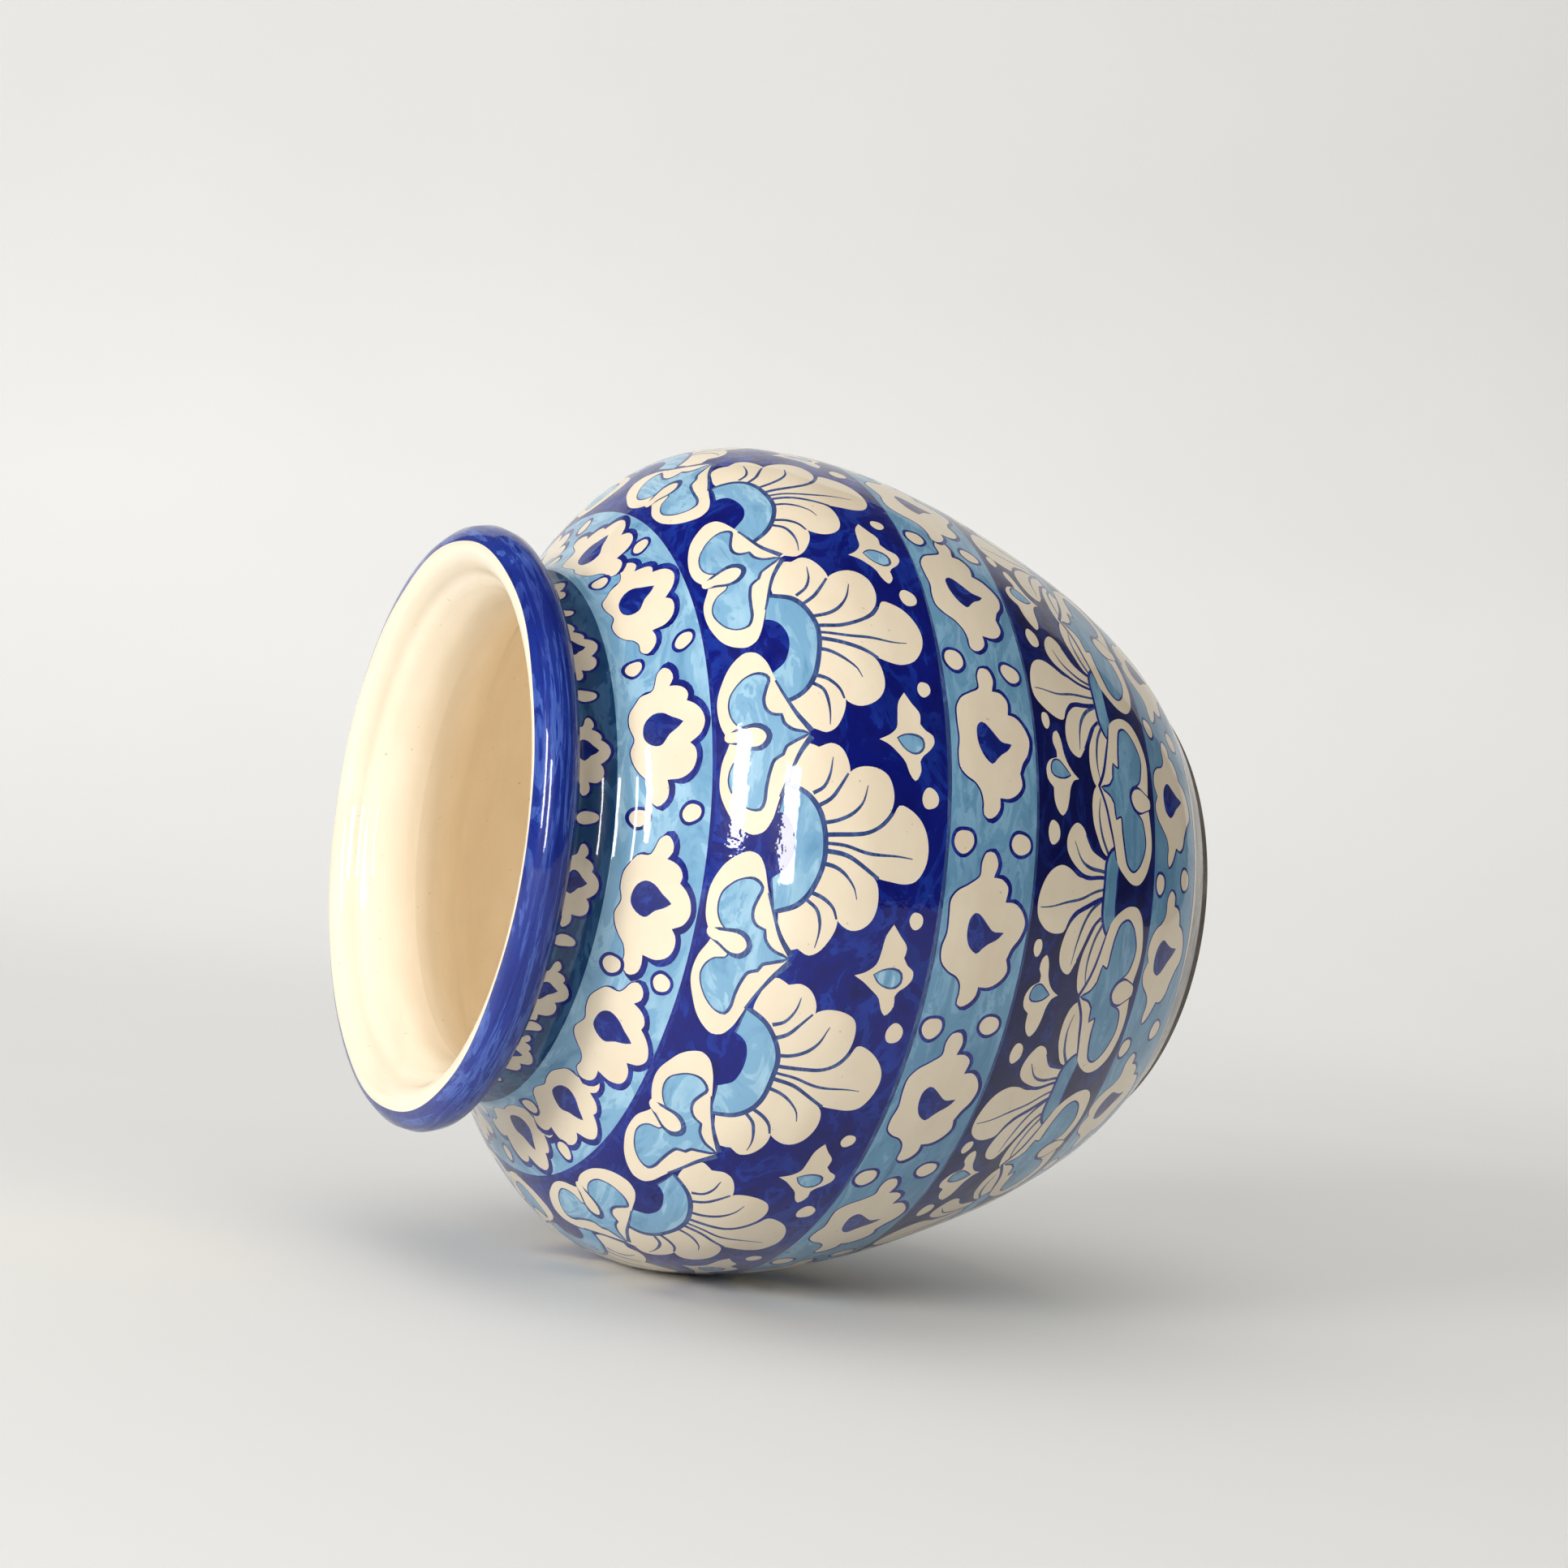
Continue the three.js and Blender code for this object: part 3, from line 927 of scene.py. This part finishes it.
# The luted seams between the courses, as the outer and the inner edge of each: [radius, height]
BELLY_SEAM = (on_outer(BELLY_JOINT), on_inner(BELLY_JOINT + JOINT_CLIMB))
SHOULDER_SEAM = (on_outer(SHOULDER_JOINT), on_inner(SHOULDER_JOINT + JOINT_CLIMB))
NECK_SEAM = (list(RIDGE), on_inner(NECK_JOINT + JOINT_CLIMB))
LIP_SEAM = ([radius_at(OUTER_NECK, LIP_JOINT), LIP_JOINT], on_inner(LIP_JOINT + JOINT_CLIMB))


def seam_face(seam, side):
    """A course's face at a seam, from its outer to its inner edge. side is 1 above, -1 below."""
    outer, inner = seam
    middle = [(outer[0] + inner[0]) / 2, (outer[1] + inner[1]) / 2 + side * JOINT_INSET]
    return [outer, middle, inner]


def wall_back(below, above, step):
    """The rest of a course, from its outer face's top: upper seam, inner wall and lower seam."""
    return [
        seam_face(above, -1),
        along(INNER_WALL, above[1][1], below[1][1], step),
        seam_face(below, 1)[::-1],
    ]


def stamp_all(motif, angles, hand, band_radius, pivot, looseness=1.0):
    """Copies of a motif round its band, one at each angle."""
    shapes = []
    for angle in angles:
        shapes += stamp(motif, angle, hand, band_radius, pivot, looseness)
    return shapes


def build_lower_wall():
    hand = random.Random(7)
    run = Run(along(OUTER_WALL, FOOT_TOP, BELLY_JOINT, 0.25), climb_at(FOOT_TOP))
    shapes = [
        band_edge("ink", FOOT_BAND_TOP + LINE_ABOVE, hand),
        band_edge("wash", FOOT_BAND_TOP, hand),
        band_edge("line", WHITE_BAND_TOP + 1.1, hand),
        band_edge("cream", WHITE_BAND_TOP, hand),
        band_edge("foot", GREY_FOOT_BAND_TOP, hand, 0.5),
    ]
    blossoms = spread([-37.7, -7.8, 19.8, 47.4], 13)
    flower = blossom(FOOT_BLOSSOM, FOOT_DROP, 0.4, 0.75)
    shapes += stamp_all(flower, blossoms, hand, 76, 23)
    pair = dots((-1.6, 30.7, 2.1, 2.1, 0.7), (0.4, 17.3, 2.4, 2.5, 0.7))
    shapes += stamp_all(pair, between(blossoms), hand, 76, 24)
    fans = spread([-29.1, 2.5, 32.1, 60.5], 12)
    shapes += stamp_all(lower_palmette(), fans, hand, 89, 58)
    shapes += stamp_all(lower_scrolls(), between(fans), hand, 89, 46, 0.7)
    shapes += stamp_all(lower_bud(), between(fans), hand, 89, 70)
    at_floor = [FLOOR_RADIUS + 1.2, FLOOR_TOP + 0.1]
    under_floor = [FLOOR_RADIUS - 0.6, FLOOR_UNDERSIDE - 0.2]
    recess_edge = [under_floor[0], FOOT_TOP]
    back = [
        seam_face(BELLY_SEAM, -1),
        along(INNER_WALL, BELLY_SEAM[1][1], INNER_FOOT, 3),
        [on_inner(INNER_FOOT), at_floor],
        [at_floor, under_floor],
        [under_floor, recess_edge],
        [recess_edge, on_outer(FOOT_TOP)],
    ]
    paints = ["clay", "inside", "inside", "clay", "inside", "clay"]
    painted_course("lower_wall", run, "dusk", shapes, back, paints)


def build_belly_wall():
    hand = random.Random(12)
    run = Run(along(OUTER_WALL, BELLY_JOINT, SHOULDER_JOINT, 0.25), climb_at(BELLY_JOINT))
    shapes = [
        band_edge("line", BELLY_BAND_TOP + LINE_ABOVE, hand),
        band_edge("wash", BELLY_BAND_TOP, hand),
        band_edge("line", climb_at(BELLY_JOINT) + 0.75, hand, 0.12),
    ]
    blossoms = spread([-52, -28.4, -5.2, 19, 41.7, 62], 15)
    flower = blossom(MIDDLE_BLOSSOM, MIDDLE_DROP, 0.45, 1.1)
    shapes += stamp_all(flower, blossoms, hand, 98, 91)
    pair = dots((-1.5, 100.4, 2.4, 2.5, 0.8), (-1, 84.2, 2.2, 2.8, 0.8))
    shapes += stamp_all(pair, between(blossoms), hand, 98, 92)
    fans = spread([-84, -56.8, -26.6, 3.4, 31.3, 58.6], 12)
    shapes += stamp_all(shoulder_palmette(), fans, hand, 96, 128)
    shapes += stamp_all(shoulder_scrolls(), between(fans), hand, 96, 146, 0.6)
    shapes += stamp_all(shoulder_bud(), between(fans), hand, 96, 114)
    back = wall_back(BELLY_SEAM, SHOULDER_SEAM, 3)
    painted_course("belly_wall", run, "cobalt", shapes, back, WALL_BACK_PAINTS)


def build_shoulder_wall():
    hand = random.Random(23)
    profile = along(OUTER_WALL, SHOULDER_JOINT, OUTER_WALL[-1][0], 0.25) + [list(RIDGE)]
    run = Run(profile, climb_at(SHOULDER_JOINT))
    shapes = [band_edge("ink", climb_at(SHOULDER_JOINT) + 1.1, hand, 0.15)]
    blossoms = spread([-77.8, -56.8, -34.8, -8.7, 22.4, 52.8, 78], 13)
    flower = blossom(SHOULDER_BLOSSOM, SHOULDER_DROP, 0.25, 1.5)
    shapes += stamp_all(flower, blossoms, hand, 72, 168)
    pair = dots((-1, 175.2, 2.1, 2, 0.85), (0.2, 162.7, 1.9, 2.2, 0.8))
    bare_gap = PICTURED_SIDE - 45.8     # the painter left the dots out here
    gaps = [a for a in between(blossoms) if abs(math.degrees(a) - bare_gap) > 3]
    shapes += stamp_all(pair, gaps, hand, 72, 169)
    back = wall_back(SHOULDER_SEAM, NECK_SEAM, 2)
    painted_course("shoulder_wall", run, "sky", shapes, back, WALL_BACK_PAINTS)


def build_neck_collar():
    hand = random.Random(31)
    run = Run([list(RIDGE)] + along(OUTER_NECK, NECK_JOINT + 0.2, LIP_JOINT, 0.25))
    blossoms = spread([-54.3, -33.4, -8.4, 19.1, 45.4], 14)
    shapes = stamp_all(neck_blossom(1.6, 11.2), blossoms, hand, 61, 6)
    shapes += stamp_all(dots((0, 6.4, 1.5, 2.6, 0.6)), between(blossoms), hand, 61, 6)
    back = wall_back(NECK_SEAM, LIP_SEAM, 2)
    # The neck's ground paint, groove, is partly painted shade: it stands in for the lip's shadow over
    # the neck.
    painted_course("neck_collar", run, "groove", shapes, back, WALL_BACK_PAINTS)


def build_lip():
    """The rolled lip: cobalt outside, up to a wavering edge along its crest, and cream within."""
    hand = random.Random(5)
    underside = along(OUTER_NECK, LIP_JOINT, OUTER_NECK[-1][0], 0.25)
    roll = arc(LIP_CENTRE, LIP_HALF, *LIP_ROLL, 60)
    inner = along(INNER_WALL, INNER_TOP, LIP_SEAM[1][1], 0.25)
    flat = np.linspace(underside[-1], roll[0], 8)[1:-1].tolist()
    run = Run(underside + flat + roll + np.linspace(roll[-1], inner[0], 6)[1:-1].tolist() + inner)
    roll_start = run.climb[len(underside) + len(flat)]
    crest = roll_start + math.radians(LIP_CREST - LIP_ROLL[0]) * LIP_HALF
    shapes = [band_edge("lip", crest, hand, 0.45)]
    painted_course("lip_roll", run, "inside", shapes, [seam_face(LIP_SEAM, 1)[::-1]], ["clay"])


def build_floor():
    """The round floor, glazed above and below, dished a little towards the middle."""
    edge = FLOOR_RADIUS
    stretches = [
        [[0.4, FLOOR_UNDERSIDE], [edge * 0.5, FLOOR_UNDERSIDE], [edge - 1, FLOOR_UNDERSIDE]],
        [[edge - 1, FLOOR_UNDERSIDE], [edge + 0.8, FLOOR_TOP]],
        [[edge + 0.8, FLOOR_TOP], [edge * 0.9, FLOOR_TOP - 0.04], [edge * 0.6, FLOOR_TOP - 0.18],
         [edge * 0.3, FLOOR_TOP - 0.33], [0.4, FLOOR_TOP - 0.4]],
    ]
    points, faces, paints, normals = lathe(stretches, ["inside", "clay", "inside"])
    low, high = range(AROUND), range(len(points) - AROUND, len(points))
    faces += [tuple(low)[::-1], tuple(high)]
    paints += [PAINTS.index("inside")] * 2
    normals += [(0, 0, -1)] * AROUND + [(0, 0, 1)] * AROUND
    mesh_piece("base_floor_glazed", "base_floor", points, faces, paints, normals)


def build_foot():
    """The unglazed foot ring, its arrises worn round."""
    tread_in, tread_out = FOOT_TREAD
    wall = radius_at(OUTER_WALL, FOOT_TOP)
    stretches = [
        [[tread_in, 0], [tread_out, 0]],
        [[tread_out, 0], [tread_out + 0.5, 0.15], [tread_out + 0.9, 0.6], [wall, FOOT_TOP]],
        [[wall, FOOT_TOP], [wall - 0.4, FOOT_HEIGHT], [FOOT_INNER, FOOT_HEIGHT]],
        [[FOOT_INNER, FOOT_HEIGHT], [FOOT_INNER, 0.8], [FOOT_INNER + 0.2, 0.3], [tread_in, 0]],
    ]
    points, faces, paints, normals = lathe(stretches, ["clay"] * 4)
    last = len(points) - AROUND
    faces = [tuple(v - last if v >= last else v for v in face) for face in faces]
    mesh_piece("foot_ring_worn", "foot_ring", points[:last], faces, paints, normals)


build_foot()
build_floor()
build_lower_wall()
build_belly_wall()
build_shoulder_wall()
build_neck_collar()
build_lip()

# --- Studio, in metres: the pot lies on its side, so the floor stands along its axis -------------

PICTURED = math.radians(PICTURED_SIDE)
FRONT = Vector((math.cos(PICTURED), math.sin(PICTURED), 0))
UP = Vector((-math.sin(PICTURED), math.cos(PICTURED), 0))   # away from the studio floor
MOUTH = Vector((0, 0, 1))


def studio(front, up, mouth):
    """A place or direction given along the pictured side, away from the floor, and to the mouth."""
    return FRONT * front + UP * up + MOUTH * mouth


AWAY = studio(-0.8865, 0, -0.4626)      # along the floor, straight away from the camera
ACROSS = studio(0.4626, 0, -0.8865)     # along the floor, to the right in the picture


def add_camera():
    """The photograph's viewpoint: level with the pot's axis, rolled a little, with a normal lens."""
    data = bpy.data.cameras.new("camera")
    data.lens = 57.94
    data.sensor_width = 36
    camera = bpy.data.objects.new("camera", data)
    bpy.context.scene.collection.objects.link(camera)
    place = studio(0.55569, 0, 0.37784)
    right = studio(0.4625, 0.1196, -0.8785)
    back = studio(0.8861, -0.0328, 0.4624)
    turned = Matrix((right, back.cross(right), back)).transposed().to_4x4()
    camera.matrix_world = Matrix.Translation(place) @ turned
    bpy.context.scene.camera = camera
    return camera.matrix_world


def add_lamp(name, kind, energy, colour, place, toward=MOUTH, upright=UP):
    """A light at a place, shining away from the direction toward."""
    data = bpy.data.lights.new(name, kind)
    data.energy = energy
    data.color = colour
    light = bpy.data.objects.new(name, data)
    bpy.context.scene.collection.objects.link(light)
    side = upright.cross(toward).normalized()
    turned = Matrix((side, toward.cross(side), toward)).transposed().to_4x4()
    light.matrix_world = Matrix.Translation(place) @ turned
    light.visible_glossy = False
    return light


def add_light(view, name, toward, reach, width, height, energy, mirrored_only=False):
    """A rectangular light facing the pot, from (right, up, nearer) in the picture.

    The windows are seen only mirrored in the glaze, and the soft boxes only by the light they cast.
    """
    axes = view.to_3x3()
    toward = axes @ Vector(toward).normalized()
    place = MOUTH * POT_MIDDLE + toward * reach
    upright = axes @ Vector((0, 1, 0))
    light = add_lamp(name, "AREA", energy, (1.0, 0.985, 0.955), place, toward, upright)
    light.data.shape = "RECTANGLE"
    light.data.size = width
    light.data.size_y = height
    light.visible_glossy = mirrored_only
    light.visible_diffuse = not mirrored_only


def add_mouth_lamp():
    """A narrow beam into the mouth."""
    toward = studio(0.36, 0.12, 0.93).normalized()
    place = MOUTH * 0.165 + toward * 0.9
    light = add_lamp("mouth_lamp", "SPOT", 4, (1.0, 0.95, 0.87), place, toward)
    light.data.spot_size = math.radians(8.5)
    light.data.spot_blend = 0.5
    light.data.shadow_soft_size = 0.06


def add_inner_lamp():
    """A small lamp in the belly, out of sight, that stands in for light bounced about in there."""
    light = add_lamp("inner_lamp", "POINT", 0.055, (1.0, 0.91, 0.76), studio(0.01, 0, 0.085))
    light.data.shadow_soft_size = 0.03
    light.visible_camera = False


def backdrop_material():
    """Pale paper, seen from the pot's side only.

    It glows a little far behind the pot, and more so to the left, as if other lamps lit it there.
    """
    nodes = Nodes("studio_paper")
    fibre = nodes.ramp(nodes.noise(3, 4), [(0.3, (0.81, 0.82, 0.82)), (0.7, (0.84, 0.85, 0.85))])
    nodes.link(fibre, nodes.shader.inputs["Base Color"])
    nodes.shader.inputs["Roughness"].default_value = 0.9
    nodes.shader.inputs["Specular IOR Level"].default_value = 0.1
    behind = nodes.reach_along(AWAY, 0.0, 1.9)
    leftward = nodes.reach_along(-ACROSS, -1.2, 1.2)
    high = nodes.reach_along(UP, -0.1, 0.8)
    right_glow = nodes.blend(high, (0.25, 0.247, 0.243), (0.175, 0.173, 0.17))
    left_glow = nodes.blend(high, (0.41, 0.405, 0.4), (0.29, 0.29, 0.283))
    glow = nodes.blend(behind, (0, 0, 0), nodes.blend(leftward, right_glow, left_glow))
    nodes.link(glow, nodes.shader.inputs["Emission Color"])
    nodes.shader.inputs["Emission Strength"].default_value = 1
    mix = nodes.add("MixShader")
    nodes.link(nodes.add("NewGeometry").outputs["Backfacing"], mix.inputs[0])
    nodes.link(nodes.shader.outputs[0], mix.inputs[1])
    nodes.link(nodes.add("BsdfTransparent").outputs[0], mix.inputs[2])
    nodes.link(mix.outputs[0], nodes.tree.nodes["Material Output"].inputs["Surface"])
    return nodes.material


def add_backdrop():
    """A floor touching the belly that sweeps up into a wall behind the pot."""
    level = -0.1003     # a hairline below the widest part of the belly
    half_width = 2.2
    start, bend, radius, rise = -0.62, 0.9, 1.5, 2.6
    profile = [(start, 0), (0, 0), (bend, 0)]
    profile += [(bend + radius * math.sin(a), radius - radius * math.cos(a))
                for a in np.linspace(0, math.pi / 2, 25)[1:]]
    profile.append((bend + radius, rise))
    vertices = []
    for reach, high in profile:
        for side in (-half_width, half_width):
            place = AWAY * reach + ACROSS * side + UP * (level + high) + MOUTH * POT_MIDDLE
            vertices.append(place)
    faces = [(2 * k, 2 * k + 1, 2 * k + 3, 2 * k + 2) for k in range(len(profile) - 1)]
    mesh = bpy.data.meshes.new("backdrop")
    mesh.from_pydata(vertices, [], faces)
    mesh.materials.append(backdrop_material())
    mesh.polygons.foreach_set("use_smooth", [True] * len(faces))
    mesh.update()
    if mesh.polygons[0].normal.dot(UP) < 0:
        mesh.flip_normals()
    backdrop = bpy.data.objects.new("backdrop", mesh)
    bpy.context.scene.collection.objects.link(backdrop)


def add_world():
    """Even pale light all round. The glaze mirrors a dim room, and the camera sees pale paper."""
    world = bpy.data.worlds.new("studio")
    world.use_nodes = True
    tree = world.node_tree
    path = tree.nodes.new("ShaderNodeLightPath")
    shown = tree.nodes["Background"]
    shown.inputs["Color"].default_value = (1.0, 0.965, 0.91, 1)
    shown.inputs["Strength"].default_value = 0.42
    for ray, colour, strength in (
        ("Is Glossy Ray", (0.95, 0.96, 1.0, 1), 0.04),
        ("Is Camera Ray", (0.8, 0.8, 0.775, 1), 1.0),
    ):
        background = tree.nodes.new("ShaderNodeBackground")
        background.inputs["Color"].default_value = colour
        background.inputs["Strength"].default_value = strength
        mix = tree.nodes.new("ShaderNodeMixShader")
        tree.links.new(path.outputs[ray], mix.inputs[0])
        tree.links.new(shown.outputs[0], mix.inputs[1])
        tree.links.new(background.outputs[0], mix.inputs[2])
        shown = mix
    tree.links.new(shown.outputs[0], tree.nodes["World Output"].inputs["Surface"])
    bpy.context.scene.world = world


add_world()
add_backdrop()
view = add_camera()
add_light(view, "left_window", (-1.02, 0.52, 1), 1.7, 0.22, 0.7, 16, mirrored_only=True)
add_light(view, "near_window", (-0.34, 0.26, 1), 1.7, 0.24, 0.8, 18, mirrored_only=True)
add_light(view, "key_softbox", (-0.8, 0.42, 1), 1.7, 0.5, 0.5, 21)
add_light(view, "front_softbox", (-0.3, 0.42, 1), 1.9, 0.5, 0.5, 4.5)
add_light(view, "top_softbox", (-0.1, 1, 0.1), 1.7, 1.6, 1.6, 8.5)
add_mouth_lamp()
add_inner_lamp()
bpy.context.scene.view_settings.view_transform = "Standard"
